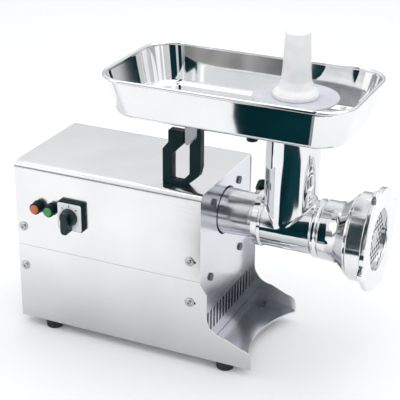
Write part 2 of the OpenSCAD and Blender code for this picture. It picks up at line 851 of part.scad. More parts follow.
module switch_body() placed() color([0.15, 0.15, 0.16]) {
    box([switch_x - 18, panel_y + sheet + 0.1, switch_z - 18],
        [switch_x + 18, panel_y + 42, switch_z + 18]);
    for (z = [-12, 0, 12]) {
        box([switch_x - 22, panel_y + 16, switch_z + z - 3],
            [switch_x + 22, panel_y + 36, switch_z + z + 3]);
    }
}

module switch_plate() placed() color([0.07, 0.08, 0.09]) {
    difference() {
        union() {
            slab_y(panel_y - 8, panel_y - 0.05) translate([switch_x, switch_z]) round_rect(42, 45, 3);
            slab_y(panel_y - 10.5, panel_y - 8) translate([switch_x, switch_z]) round_rect(38, 41, 2.5);
        }
        bar_out(switch_x, panel_y + 1, switch_z, 20, 15);
    }
}

module switch_knob() placed() color([0.05, 0.06, 0.07]) {
    bar_out(switch_x, panel_y + sheet, switch_z, 16, 4);
    bar_out(switch_x, panel_y - 2, switch_z, 14, 14.6);
    slab_y(panel_y - lever_reach, panel_y - 16 + eps) {
        difference() {
            translate([switch_x, switch_z - 5]) round_rect(11, 33, 4.5);
            translate([switch_x, switch_z + 8]) square([3, 5], center = true);
        }
    }
}

module button_collars() placed() color([0.07, 0.08, 0.09]) {
    for (x = button_x) difference() {
        union() {
            bar_out(x, panel_y - 0.05, button_z, collar_h, 9);
            bar_out(x, panel_y + 24, button_z, 25, 7.9);
        }
        bar_out(x, panel_y + 20, button_z, 40, cap_r + run_gap);
    }
}

module button_cap(x) {
    bar_out(x, panel_y + 6, button_z, collar_h + 7.5, cap_r);
    bar_out(x, panel_y - collar_h - 1.5 + eps, button_z, 1.5, cap_r - 1);
}

module stop_button() placed() color([0.9, 0.35, 0.12]) button_cap(button_x[0]);

module start_button() placed() color([0.2, 0.6, 0.3]) button_cap(button_x[1]);

module contactor() placed() color([0.2, 0.22, 0.25]) {
    box([150, 50, 190], [195, side_y - sheet - 0.1, 250]);
    box([156, 46, 200], [189, 50, 240]);
}

module start_capacitor() placed() color([0.3, 0.32, 0.35]) {
    y = side_y - sheet - 20.1;
    bar_x(40, 120, 20, y, 225);
    bar_x(120 - eps, 126, 14, y, 225);
}

module cable_gland() placed() color([0.08, 0.08, 0.09]) {
    y = gland_yz[0];
    z = gland_yz[1];
    difference() {
        union() {
            bar_x(rear_x, -5, 9, y, z);
            translate([-5, y, z]) rotate([0, 90, 0]) cylinder(h = 5, r = 11, $fn = 6);
            bar_x(-1, 12, 7.5, y, z);
            translate([sheet, y, z]) rotate([0, 90, 0]) cylinder(h = 4, r = 11, $fn = 6);
        }
        bar_x(rear_x - 1, 14, 4.6, y, z);
    }
}

// ---------- nodes ----------

base_pan();
casing_cover();
rear_panel();
front_plate();
front_apron();
apron_screws();
rubber_feet();
foot_screws();
casing_screws();
front_plate_screws();
carry_handle();
handle_screws();
tray_rest_plate();
head_socket();
socket_bolts();
gearbox_housing();
gearbox_cover();
gearbox_bolts();
motor_housing();
motor_end_bell();
motor_front_bell();
motor_cradle();
stator_core();
stator_windings();
rotor_core();
motor_shaft();
motor_pinion();
motor_bearings();
cooling_fan();
fan_cowl();
intermediate_shaft();
intermediate_gear();
intermediate_pinion();
intermediate_bearings();
output_gear();
output_shaft();
output_bearings();
shaft_seal();
barrel_head();
screw_bush();
plate_key_pin();
lock_knob();
feed_screw();
knife();
grinding_plate();
ring_nut();
tray();
tray_stud();
pusher_handle();
pusher_guard();
pusher_pestle();
switch_body();
switch_plate();
switch_knob();
button_collars();
stop_button();
start_button();
contactor();
start_capacitor();
cable_gland();
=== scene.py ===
"""Looks for the bench-top meat grinder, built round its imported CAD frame.

Modelled pieces are drawn in the millimetres of the CAD drawing, moved into the row frame and set
to ride on a body. A node that no piece replaces keeps its CAD mesh and only gets a material.
"""
import json
import math

import bmesh
import bpy
import numpy as np
from mathutils import Matrix, Quaternion, Vector

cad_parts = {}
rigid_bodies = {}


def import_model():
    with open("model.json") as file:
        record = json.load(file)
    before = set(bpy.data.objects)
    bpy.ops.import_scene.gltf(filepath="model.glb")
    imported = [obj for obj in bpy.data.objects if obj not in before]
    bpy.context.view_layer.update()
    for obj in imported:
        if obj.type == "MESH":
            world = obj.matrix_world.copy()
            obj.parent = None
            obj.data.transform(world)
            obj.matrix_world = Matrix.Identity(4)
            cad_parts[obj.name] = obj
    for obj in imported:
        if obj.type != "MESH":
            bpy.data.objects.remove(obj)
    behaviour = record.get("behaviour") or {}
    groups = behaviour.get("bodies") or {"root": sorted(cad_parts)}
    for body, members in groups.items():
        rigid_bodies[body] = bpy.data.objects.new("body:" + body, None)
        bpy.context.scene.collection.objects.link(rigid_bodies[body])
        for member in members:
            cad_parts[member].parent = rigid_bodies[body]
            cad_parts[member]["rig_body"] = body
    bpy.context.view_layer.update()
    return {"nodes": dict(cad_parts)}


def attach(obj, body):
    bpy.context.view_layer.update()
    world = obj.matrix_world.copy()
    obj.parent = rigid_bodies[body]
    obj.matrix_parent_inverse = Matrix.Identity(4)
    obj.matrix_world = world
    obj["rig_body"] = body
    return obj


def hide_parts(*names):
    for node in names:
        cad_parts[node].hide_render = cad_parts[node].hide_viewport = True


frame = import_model()
nodes = frame["nodes"]
BODY_OF = {name: node["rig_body"] for name, node in nodes.items()}

MM = 0.001
# From the corner of the CAD drawing to the row frame, in mm
SHIFT = Vector((-262.0, 8.5, 0.0))

# Main places in the CAD drawing, in mm
AXIS_Z = 215.0
NECK_X = 404.5
SIDE_Y = 93.5
ALONG_X, OUTWARD, UP = (1, 0, 0), (0, -1, 0), (0, 0, 1)
BARREL_AXIS = ((0, 0, AXIS_Z), ALONG_X)
NECK_AXIS = ((NECK_X, 0, 0), UP)


# ---------- camera ----------

def make_camera():
    """A long lens that sees the grinder as the photo does."""
    cam = bpy.data.cameras.new("camera")
    cam.sensor_width = 36.0
    cam.lens = 107.5
    cam.clip_end = 30.0
    ob = bpy.data.objects.new("camera", cam)
    bpy.context.scene.collection.objects.link(ob)
    ob.location = (0.6662, -1.4615, 0.9477)
    target = Vector((-0.0007, 0.0085, 0.2223))
    roll = 0.0075
    facing = (target - ob.location).to_track_quat("-Z", "Y")
    ob.rotation_euler = (facing @ Quaternion((0, 0, 1), roll)).to_euler()
    bpy.context.scene.camera = ob


# ---------- materials ----------

class Shader:
    """A Principled material whose colour, roughness and bump come from procedural nodes."""

    def __init__(self, name, color, metallic, roughness, **sockets):
        self.mat = bpy.data.materials.new(name)
        self.mat.use_nodes = True
        self.tree = self.mat.node_tree
        self.bsdf = self.tree.nodes["Principled BSDF"]
        self.bsdf.inputs["Base Color"].default_value = (*color, 1)
        self.bsdf.inputs["Metallic"].default_value = metallic
        self.bsdf.inputs["Roughness"].default_value = roughness
        for key, value in sockets.items():
            self.bsdf.inputs[key.replace("_", " ")].default_value = value
        self.coords = self.tree.nodes.new("ShaderNodeTexCoord")
        self.last_normal = None

    def noise(self, scale, detail, stretch=(1, 1, 1)):
        mapping = self.tree.nodes.new("ShaderNodeMapping")
        mapping.inputs["Scale"].default_value = stretch
        tex = self.tree.nodes.new("ShaderNodeTexNoise")
        tex.inputs["Scale"].default_value = scale
        tex.inputs["Detail"].default_value = detail
        self.tree.links.new(self.coords.outputs["Object"], mapping.inputs["Vector"])
        self.tree.links.new(mapping.outputs["Vector"], tex.inputs["Vector"])
        return tex.outputs["Fac"]

    def spread(self, value, low, high, start=0.3, end=0.7):
        """Maps a value that runs from start to end onto the range low to high."""
        node = self.tree.nodes.new("ShaderNodeMapRange")
        for key, number in (("From Min", start), ("From Max", end),
                            ("To Min", low), ("To Max", high)):
            node.inputs[key].default_value = number
        self.tree.links.new(value, node.inputs["Value"])
        return node.outputs["Result"]

    def color(self, fac, dark, light, start=0.3, end=0.7):
        ramp = self.tree.nodes.new("ShaderNodeValToRGB")
        ramp.color_ramp.elements[0].position = start
        ramp.color_ramp.elements[0].color = (*dark, 1)
        ramp.color_ramp.elements[1].position = end
        ramp.color_ramp.elements[1].color = (*light, 1)
        self.tree.links.new(fac, ramp.inputs["Fac"])
        self.tree.links.new(ramp.outputs["Color"], self.bsdf.inputs["Base Color"])

    def rough(self, fac, low, high):
        self.tree.links.new(self.spread(fac, low, high), self.bsdf.inputs["Roughness"])

    def bump(self, fac, height, strength):
        """Adds relief of a height in metres on top of any relief the material has already."""
        node = self.tree.nodes.new("ShaderNodeBump")
        node.inputs["Strength"].default_value = strength
        node.inputs["Distance"].default_value = height
        self.tree.links.new(fac, node.inputs["Height"])
        if self.last_normal:
            self.tree.links.new(self.last_normal, node.inputs["Normal"])
        self.last_normal = node.outputs["Normal"]
        self.tree.links.new(self.last_normal, self.bsdf.inputs["Normal"])


def tinted(color, k):
    return tuple(min(1.0, c * k) for c in color)


def metal(name, color, rough, grain=None, wave=0.0, wave_scale=0.0, speckle=0.0):
    """Bare metal: soft stains in the colour, brushed grain along one axis, slow sheet waviness
    and fine speckle. Wave and speckle are heights in metres, and grain is a noise stretch."""
    s = Shader(name, color, 1.0, rough)
    stains = s.noise(scale=9.0, detail=4.0)
    s.color(stains, tinted(color, 0.93), tinted(color, 1.04))
    if grain:
        lines = s.noise(scale=1.0, detail=2.0, stretch=grain)
        s.rough(lines, rough * 0.85, rough * 1.15)
        s.bump(lines, height=0.00003, strength=0.12)
    else:
        s.rough(stains, rough * 0.75, rough * 1.3)
    if wave:
        s.bump(s.noise(scale=wave_scale, detail=1.0), height=wave, strength=1.0)
    if speckle:
        s.bump(s.noise(scale=900.0, detail=2.0), height=speckle, strength=0.3)
    return s.mat


def plastic(name, color, rough, grain_height=0.00004, grain_scale=1400.0, wear=1.25, **sockets):
    """Moulded plastic: fine grain, faint handling marks in the gloss, and small colour drift."""
    s = Shader(name, color, 0.0, rough, **sockets)
    s.color(s.noise(scale=40.0, detail=4.0), tinted(color, 0.86), tinted(color, wear))
    s.rough(s.noise(scale=65.0, detail=5.0), rough * 0.8, rough * 1.3)
    s.bump(s.noise(scale=grain_scale, detail=2.0), height=grain_height, strength=0.5)
    return s.mat


# Noise stretches: the grain runs along the axis with the small number
GRAIN_X = (14.0, 1100.0, 1100.0)
GRAIN_Y = (1100.0, 14.0, 1100.0)
STEEL = (0.86, 0.86, 0.86)
FINE_SPECKLE, CAST_SPECKLE = 0.00002, 0.0002
# For the white parts: how little the colour drifts, and the noise scale of the grain
WHITE_WEAR, WHITE_GRAIN = 1.02, 900.0
MATS = {
    "casing": metal("casing_brushed", STEEL, 0.2, GRAIN_X, wave=0.0003, wave_scale=7.0),
    "front": metal("front_brushed", (0.72, 0.73, 0.77), 0.2, GRAIN_Y, wave=0.0004, wave_scale=9.0),
    "polished": metal("polished_cast", (0.83, 0.84, 0.85), 0.06, wave=0.00018, wave_scale=16.0),
    "rest": metal("rest_plate_grey", (0.42, 0.43, 0.44), 0.35, (40.0, 600.0, 40.0)),
    "nut": metal("nut_polished", (0.88, 0.88, 0.89), 0.12, wave=0.00012, wave_scale=22.0),
    "tray": metal("tray_sheet", (0.85, 0.855, 0.86), 0.05, wave=0.0003, wave_scale=11.0),
    "socket": metal("socket_turned", (0.76, 0.77, 0.79), 0.2, GRAIN_Y),
    "slots": metal("screw_darkened", (0.16, 0.17, 0.18), 0.4, speckle=FINE_SPECKLE),
    "fastener": metal("fastener_plated", (0.60, 0.61, 0.62), 0.24, speckle=FINE_SPECKLE),
    "cutter": metal("cutter_ground", (0.66, 0.67, 0.69), 0.3, (500.0, 40.0, 500.0)),
    "gear": metal("gear_machined", (0.52, 0.52, 0.53), 0.34, (60.0, 700.0, 700.0)),
    "bearing": metal("bearing_ground", (0.70, 0.70, 0.72), 0.16, GRAIN_Y),
    "alloy": metal("gearbox_cast", (0.58, 0.59, 0.60), 0.52, speckle=CAST_SPECKLE),
    "iron": metal("core_laminated", (0.30, 0.30, 0.31), 0.5, (1800.0, 30.0, 30.0)),
    "copper": metal("winding_copper", (0.66, 0.30, 0.13), 0.35, (90.0, 900.0, 900.0)),
    "bronze": metal("bush_bronze", (0.66, 0.47, 0.20), 0.3, (60.0, 800.0, 800.0)),
    "paint": plastic("motor_paint", (0.05, 0.075, 0.095), 0.42, 0.0001, 500.0),
    "black": plastic("black_moulded", (0.0015, 0.017, 0.020), 0.42, Specular_IOR_Level=0.14),
    "knob": plastic("knob_gloss", (0.001, 0.020, 0.023), 0.2, 0.00002, Specular_IOR_Level=0.35),
    "electric": plastic("electric_housing", (0.03, 0.032, 0.036), 0.5),
    "rubber": plastic("foot_rubber", (0.018, 0.018, 0.019), 0.72, 0.0001, 800.0),
    "stop": plastic("stop_cap", (0.60, 0.135, 0.045), 0.3, 0.00003),
    "start": plastic("start_cap", (0.045, 0.30, 0.085), 0.3, 0.00003),
    "white": plastic("white_plastic", (0.95, 0.95, 0.95), 0.34, 0.00002, WHITE_GRAIN, WHITE_WEAR,
                     Subsurface_Weight=0.15, Subsurface_Scale=0.004),
    "guard": plastic("guard_plastic", (0.60, 0.61, 0.66), 0.22, 0.00001, WHITE_GRAIN, WHITE_WEAR),
    "face": plastic("switch_face", (0.90, 0.90, 0.92), 0.3, 0.00001, WHITE_GRAIN, WHITE_WEAR),
    "mark": plastic("switch_marks", (0.05, 0.055, 0.06), 0.4),
}
NODE_MAT = {
    "casing": "base_pan casing_cover rear_panel tray_rest_plate",
    "front": "front_plate front_apron",
    "polished": "barrel_head",
    "nut": "ring_nut",
    "tray": "tray",
    "socket": "head_socket",
    "slots": "front_plate_screws apron_screws",
    "fastener": "foot_screws casing_screws handle_screws socket_bolts "
                "gearbox_bolts plate_key_pin",
    "cutter": "feed_screw knife grinding_plate",
    "gear": "motor_shaft motor_pinion intermediate_shaft intermediate_gear intermediate_pinion "
            "output_gear output_shaft",
    "bearing": "motor_bearings intermediate_bearings output_bearings",
    "alloy": "gearbox_housing gearbox_cover",
    "iron": "stator_core rotor_core",
    "copper": "stator_windings",
    "bronze": "screw_bush",
    "paint": "motor_housing motor_end_bell motor_front_bell motor_cradle fan_cowl",
    "black": "carry_handle tray_stud switch_plate button_collars cable_gland",
    "knob": "switch_knob lock_knob",
    "electric": "switch_body contactor start_capacitor cooling_fan",
    "rubber": "rubber_feet shaft_seal",
    "stop": "stop_button",
    "start": "start_button",
    "white": "pusher_handle pusher_pestle",
    "guard": "pusher_guard",
}


def dress_frame():
    """Gives each CAD node its material."""
    for key, names in NODE_MAT.items():
        for name in names.split():
            mesh = nodes[name].data
            mesh.materials.clear()
            mesh.materials.append(MATS[key])


# ---------- mesh helpers ----------

def fillet(points, closed=False, steps=6):
    """Rounds the corners of a 2D outline. A point is (a, b) or (a, b, radius)."""
    # The largest share of an edge that one of its corners may use
    most = 0.49
    out = []
    last = len(points) - 1
    for i, p in enumerate(points):
        here = Vector(p[:2])
        radius = p[2] if len(p) > 2 else 0.0
        if radius == 0.0 or (not closed and i in (0, last)):
            out.append(here)
            continue
        before = Vector(points[i - 1][:2]) - here
        after = Vector(points[(i + 1) % len(points)][:2]) - here
        half = before.angle(after) / 2
        cut = min(radius / math.tan(half), most * before.length, most * after.length)
        radius = cut * math.tan(half)
        bisector = (before.normalized() + after.normalized()).normalized()
        middle = here + bisector * (radius / math.sin(half))
        a = here + before.normalized() * cut - middle
        b = here + after.normalized() * cut - middle
        sweep = a.angle(b)
        for k in range(steps + 1):
            t = k / steps
            w0 = math.sin((1 - t) * sweep) / math.sin(sweep)
            w1 = math.sin(t * sweep) / math.sin(sweep)
            out.append(middle + a * w0 + b * w1)
    return out


def apply_modifiers(ob):
    """Makes the result of the object's modifiers its own mesh."""
    graph = bpy.context.evaluated_depsgraph_get()
    ob.data = bpy.data.meshes.new_from_object(ob.evaluated_get(graph))
    ob.modifiers.clear()


def finish_piece(name, bm, body, mat, replaces=(), bevel=0.0, sharp=40.0, segments=3):
    """Turns a bmesh in drawing mm into a piece in the row frame that rides on a body.

    Edges steeper than sharp degrees stay sharp; 180 smooths them all. Bevel is a width in mm."""
    same_point, bevel_margin, flat_weight = 0.0005, 8, 60
    bmesh.ops.remove_doubles(bm, verts=bm.verts, dist=same_point)
    bmesh.ops.recalc_face_normals(bm, faces=bm.faces)
    mesh = bpy.data.meshes.new(name)
    bm.to_mesh(mesh)
    bm.free()
    mesh.transform(Matrix.Scale(MM, 4) @ Matrix.Translation(SHIFT))
    ob = bpy.data.objects.new(name, mesh)
    bpy.context.scene.collection.objects.link(ob)
    if bevel:
        mod = ob.modifiers.new("round", "BEVEL")
        mod.width = bevel * MM
        mod.segments = segments
        mod.limit_method = "ANGLE"
        mod.angle_limit = math.radians(sharp - bevel_margin)
        mod.use_clamp_overlap = True
        apply_modifiers(ob)
    ob.data.shade_smooth()
    ob.data.set_sharp_from_angle(angle=math.radians(sharp))
    if sharp < 180:
        mod = ob.modifiers.new("flats", "WEIGHTED_NORMAL")
        mod.keep_sharp = True
        mod.weight = flat_weight
        apply_modifiers(ob)
    ob.data.name = name
    ob.data.materials.clear()
    ob.data.materials.append(MATS[mat])
    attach(ob, body)
    if replaces:
        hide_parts(*replaces)
    return ob


def frame_of(axis):
    """Axis, and two directions across it."""
    axis = Vector(axis).normalized()
    across = Vector((0, 0, 1)) if abs(axis.z) < 0.9 else Vector((1, 0, 0))
    u = across.cross(axis).normalized()
    return axis, u, axis.cross(u)


def add_lathe(bm, profile, origin, axis, count, radius_at=None):
    """Adds a turned shape; profile is a list of (radius, height along the axis).

    radius_at may change the radius from the profile's with the angle round the axis."""
    on_axis = 1e-4
    axis, u, v = frame_of(axis)
    origin = Vector(origin)
    rings = []
    for r, h in profile:
        base = origin + axis * h
        if r < on_axis:
            rings.append([bm.verts.new(base)])
            continue
        ring = []
        for k in range(count):
            t = 2 * math.pi * k / count
            radius = radius_at(r, t) if radius_at else r
            ring.append(bm.verts.new(base + (u * math.cos(t) + v * math.sin(t)) * radius))
        rings.append(ring)
    for a, b in zip(rings, rings[1:]):
        for k in range(count):
            m = (k + 1) % count
            if len(a) == 1:
                bm.faces.new((a[0], b[k], b[m]))
            elif len(b) == 1:
                bm.faces.new((a[k], b[0], a[m]))
            else:
                bm.faces.new((a[k], b[k], b[m], a[m]))


def add_prism(bm, outline, origin, depth, u=ALONG_X, v=UP):
    """Adds a plate whose outline lies along u and v and which grows from there by depth."""
    origin, u, v, depth = Vector(origin), Vector(u), Vector(v), Vector(depth)
    low = [bm.verts.new(origin + u * p[0] + v * p[1]) for p in outline]
    high = [bm.verts.new(w.co + depth) for w in low]
    for k in range(len(low)):
        m = (k + 1) % len(low)
        bm.faces.new((low[k], low[m], high[m], high[k]))
    bm.faces.new(low)
    bm.faces.new(high)


def circle(r, count):
    return [(r * math.cos(2 * math.pi * k / count), r * math.sin(2 * math.pi * k / count))
            for k in range(count)]


def round_box(w, h, r, steps=6):
    x, y = w / 2, h / 2
    return fillet([(-x, -y, r), (x, -y, r), (x, y, r), (-x, y, r)], True, steps)


# ---------- tray ----------

TRAY_X, TRAY_L, TRAY_W = 326.0, 373.0, 207.0
RIM_Z, TRAY_Z = 427.5, 367.5
RIM_CORNER = 47
CORNER_SHRINK = 0.35
TRAY_HOLE_R, TRAY_HOLE_COUNT = 34.6, 72


def tray_ring(bm, inset, z):
    """One closed outline of the tray at a height, drawn in from the rim by inset."""
    radius = RIM_CORNER - CORNER_SHRINK * inset
    outline = round_box(TRAY_L - 2 * inset, TRAY_W - 2 * inset, radius, steps=18)
    return [bm.verts.new((TRAY_X + p[0], p[1], z)) for p in outline]


def make_tray():
    """Rings from under the floor, up the outside, round the rim bead and down the inside."""
    bm = bmesh.new()
    edge, slope, sheet, floor_inset = 3.4, 0.245, 1.5, 30
    # The wall is a little thicker than the floor, so that its inside meets the bead
    extra, bead_r = 0.9, 2.8
    bead_inset, bead_z = 2.9, RIM_Z - 2.85
    bead_start, bead_end, bead_count = math.radians(-72), math.radians(-372), 22
    # The outside wall leans so that its line reaches the edge inset at this height
    lean_z = RIM_Z - 6
    foot = edge + slope * (lean_z - TRAY_Z)
    outer = fillet([(floor_inset, TRAY_Z), (foot, TRAY_Z, 11), (edge + slope * 2, lean_z - 2)],
                   steps=8)
    bead = [(bead_inset + bead_r * math.cos(t), bead_z + bead_r * math.sin(t))
            for t in np.linspace(bead_start, bead_end, bead_count)]
    inner = fillet([(edge + sheet + extra, RIM_Z - 5), (foot + sheet + extra, TRAY_Z + sheet, 9.5),
                    (floor_inset, TRAY_Z + sheet)], steps=8)
    rings = [tray_ring(bm, p[0], p[1]) for p in outer + bead + inner]
    count = len(rings[0])
    for a, b in zip(rings, rings[1:]):
        for k in range(count):
            m = (k + 1) % count
            bm.faces.new((a[k], a[m], b[m], b[k]))
    # The two skins of the floor, each with the throat hole in it
    for ring, z in ((rings[0], TRAY_Z), (rings[-1], TRAY_Z + sheet)):
        hole = [bm.verts.new((NECK_X + p[0], p[1], z))
                for p in circle(TRAY_HOLE_R, TRAY_HOLE_COUNT)]
        edges = [bm.edges.new((hole[k], hole[(k + 1) % TRAY_HOLE_COUNT]))
                 for k in range(TRAY_HOLE_COUNT)]
        edges += [bm.edges.get((ring[k], ring[(k + 1) % count])) for k in range(count)]
        bmesh.ops.triangle_fill(bm, use_beauty=True, use_dissolve=False, edges=edges)
    collar = fillet([(TRAY_HOLE_R, 0), (TRAY_HOLE_R, 5.8, 0.7), (36, 5.8, 0.7), (36, 0)], steps=3)
    add_lathe(bm, collar, (NECK_X, 0, TRAY_Z), UP, TRAY_HOLE_COUNT)
    finish_piece("tray_pan", bm, BODY_OF["tray"], "tray", ["tray"], sharp=35)


# ---------- feed head ----------

BARREL_R, NECK_R = 39.7, 39.2
# How wide the casting melts from the barrel into the neck, and into the rib
NECK_BLEND, RIB_BLEND = 1.6, 3.0
# The rib is a rounded box behind the neck: its middle, half its size, and its rounding
RIB_MIDDLE = np.array((378, 0, 310))
RIB_HALF = np.array((13, 5, 70))
RIB_ROUND = 3.0


def head_field(p):
    """Distance outside the cast tee: barrel and neck melted together, with a rib behind the neck."""
    x, y, z = p[..., 0], p[..., 1], p[..., 2]
    field = np.hypot(y, z - AXIS_Z) - BARREL_R
    below = np.minimum(z - AXIS_Z, 0)
    neck = np.sqrt((x - NECK_X) ** 2 + y ** 2 + below ** 2) - NECK_R
    q = np.abs(p - RIB_MIDDLE) - RIB_HALF
    rib = np.sqrt((np.maximum(q, 0) ** 2).sum(-1)) + np.minimum(q.max(-1), 0) - RIB_ROUND
    for other, soft in ((neck, NECK_BLEND), (rib, RIB_BLEND)):
        h = np.maximum(soft - np.abs(field - other), 0) / soft
        field = np.minimum(field, other) - h * h * soft / 4
    return field


def gradient(field, p):
    """Slope of a field at points, from samples a little to each side."""
    step = 0.02
    grad = np.empty_like(p)
    for axis in range(3):
        shift = np.zeros(3)
        shift[axis] = step
        grad[..., axis] = (field(p + shift) - field(p - shift)) / (2 * step)
    return grad


def surface_net(field, low, high, step, pulls=4):
    """Points and quads of the zero surface of a field inside a box.

    The points are pulled onto the surface along the field's slope, in a few rounds."""
    axes = [np.arange(a, b + step, step) for a, b in zip(low, high)]
    grid = np.stack(np.meshgrid(*axes, indexing="ij"), -1)
    value = field(grid)
    inside = value < 0
    shape = np.array(value.shape) - 1
    # One point for each cell the surface passes: the mean of its crossings of the cell's edges
    total = np.zeros(tuple(shape) + (3,))
    hits = np.zeros(tuple(shape))
    for axis in range(3):
        others = [a for a in range(3) if a != axis]
        near = [slice(None)] * 3
        far = [slice(None)] * 3
        near[axis], far[axis] = slice(0, -1), slice(1, None)
        v0, v1 = value[tuple(near)], value[tuple(far)]
        cross = inside[tuple(near)] != inside[tuple(far)]
        t = np.where(cross, v0 / np.where(cross, v0 - v1, 1), 0)
        point = grid[tuple(near)].copy()
        point[..., axis] += t * step
        for i in (0, 1):
            for j in (0, 1):
                cut = [slice(None)] * 3
                cut[others[0]] = slice(i, i + shape[others[0]])
                cut[others[1]] = slice(j, j + shape[others[1]])
                c = cross[tuple(cut)]
                hits += c
                total += point[tuple(cut)] * c[..., None]
    used = hits > 0
    number = np.full(tuple(shape), -1)
    number[used] = np.arange(used.sum())
    points = total[used] / hits[used][:, None]
    for _ in range(pulls):
        grad = gradient(field, points)
        points -= field(points)[:, None] * grad / (grad ** 2).sum(-1)[:, None]
    # One quad for each grid edge the surface crosses, from the four cells round that edge
    quads = []
    for axis in range(3):
        others = [a for a in range(3) if a != axis]
        near = [slice(1, -1)] * 3
        far = [slice(1, -1)] * 3
        near[axis], far[axis] = slice(0, -1), slice(1, None)
        a, b = inside[tuple(near)], inside[tuple(far)]
        start = np.argwhere(a != b)
        start[:, others[0]] += 1
        start[:, others[1]] += 1
        corners = []
        for i, j in ((0, 0), (1, 0), (1, 1), (0, 1)):
            cell = start.copy()
            cell[:, others[0]] -= i
            cell[:, others[1]] -= j
            corners.append(number[tuple(cell.T)])
        quad = np.stack(corners, -1)
        flip = b[a != b]
        quad[flip] = quad[flip][:, ::-1]
        quads.append(quad)
    return points, np.concatenate(quads)


def make_head_casting():
    """The cast tee, cut flat where the turned parts cover it and shaded by its field's slope."""
    points, quads = surface_net(head_field, (366, -47, 171), (448, 47, 366), step=2.0)
    bm = bmesh.new()
    verts = [bm.verts.new(p) for p in points]
    for q in quads:
        if min(q) >= 0:
            bm.faces.new([verts[i] for i in q])
    rear, front, top = 370.5, 444.5, 362
    for place, normal in (((rear, 0, 0), (-1, 0, 0)), ((front, 0, 0), (1, 0, 0)), ((0, 0, top), UP)):
        bmesh.ops.bisect_plane(bm, geom=bm.verts[:] + bm.edges[:] + bm.faces[:], plane_co=place,
                               plane_no=normal, clear_outer=True)
    ob = finish_piece("head_casting", bm, BODY_OF["barrel_head"], "polished",
                      ["barrel_head"], sharp=180)
    co = np.empty(len(ob.data.vertices) * 3)
    ob.data.vertices.foreach_get("co", co)
    world = np.array(ob.matrix_world)
    co = co.reshape(-1, 3) @ world[:3, :3].T + world[:3, 3]
    normals = gradient(head_field, co / MM - np.array(SHIFT))
    normals /= np.linalg.norm(normals, axis=1)[:, None]
    ob.data.normals_split_custom_set_from_vertices([tuple(n) for n in normals])


def make_head_turned():
    """The machined rear spigot, the front collar with its bore, and the collar under the tray."""
    bm = bmesh.new()
    rear = fillet([(18, 301), (25.2, 301), (26, 301.8), (26, 357.6), (41, 357.6, 1.2),
                   (42, 368, 2), (40, 371.5, 2), (40, 373)], steps=4)
    add_lathe(bm, rear, *BARREL_AXIS, count=144)
    front = fillet([(40, 443), (40, 446.5, 4), (43.2, 448.5, 1.6), (43.2, 453, 1.6),
                    (41.2, 455.2, 0.8), (41.2, 456.8, 0.8), (43.7, 458.8, 2.5), (43.7, 473, 30),
                    (46.5, 485.5, 22), (59.5, 501, 5), (59.8, 504), (56, 504),
                    (56, 527.6, 0.6), (49.6, 527.8, 0.4), (49.5, 505), (33, 492),
                    (33, 366), (16, 366)], steps=7)
    add_lathe(bm, front, *BARREL_AXIS, count=144)
    collar = fillet([(38.8, 356), (38.8, 358.6, 1.6), (46.8, 358.4, 1.2), (46.8, 367.2, 1.0),
                     (34, 367.2, 0.5), (34, 373.4, 1.0), (28, 373.4, 1.2), (28, 248)], steps=5)
    add_lathe(bm, collar, *NECK_AXIS, count=128)
    finish_piece("head_turned", bm, BODY_OF["barrel_head"], "polished", sharp=38)


NUT_LOBES = [math.radians(a) for a in (17, 107, 197, 287)]
FLANGE_R = 75.0
NUT_CORE_R = 66
# A lobe is a circle round a point this far from the axis; its tip is cut at the reach
LOBE_OUT, LOBE_R, LOBE_REACH = 71.0, 13.0, 83.8
LOBE_BLEND = 3.0


def nut_radius(r, t):
    """Lets the four gripping lobes swell out of the nut's flange."""
    if r < NUT_CORE_R:
        return r
    best = 0.0
    for lobe in NUT_LOBES:
        side = math.sin(t - lobe) * LOBE_OUT
        if abs(side) < LOBE_R and math.cos(t - lobe) > 0:
            best = max(best, math.cos(t - lobe) * LOBE_OUT + math.sqrt(LOBE_R ** 2 - side ** 2))
    h = max(LOBE_BLEND - abs(FLANGE_R - best), 0) / LOBE_BLEND
    edge = max(FLANGE_R, best) + h * h * LOBE_BLEND / 4
    return r + min(edge, LOBE_REACH) - FLANGE_R


def make_nut():
    bm = bmesh.new()
    profile = fillet([(56.3, 531), (56.3, 506), (57.3, 505.3), (63, 505.3, 1.2), (64, 507, 1.2),
                      (64, 529, 1.8), (74.8, 530, 1.6), (74.8, 537.9, 1.8), (64, 537.9),
                      (45.5, 537.7, 1.6), (43.5, 535.6, 0.8), (43.5, 531), (56.3, 531)], steps=5)
    add_lathe(bm, profile, *BARREL_AXIS, count=360, radius_at=nut_radius)
    finish_piece("ring_nut_turned", bm, BODY_OF["ring_nut"], "nut",
                 ["ring_nut"], sharp=40)


LOCK_TILT = math.radians(35)
LOCK_AXIS = ((345, 0, AXIS_Z), (0, math.cos(LOCK_TILT), math.sin(LOCK_TILT)))


def knob_radius(r, t):
    """Six shallow finger flutes down the side of the lock knob."""
    side_r, flute = 8, 0.9
    return r - (flute * max(0.0, math.cos(6 * t)) ** 2 if r > side_r else 0)


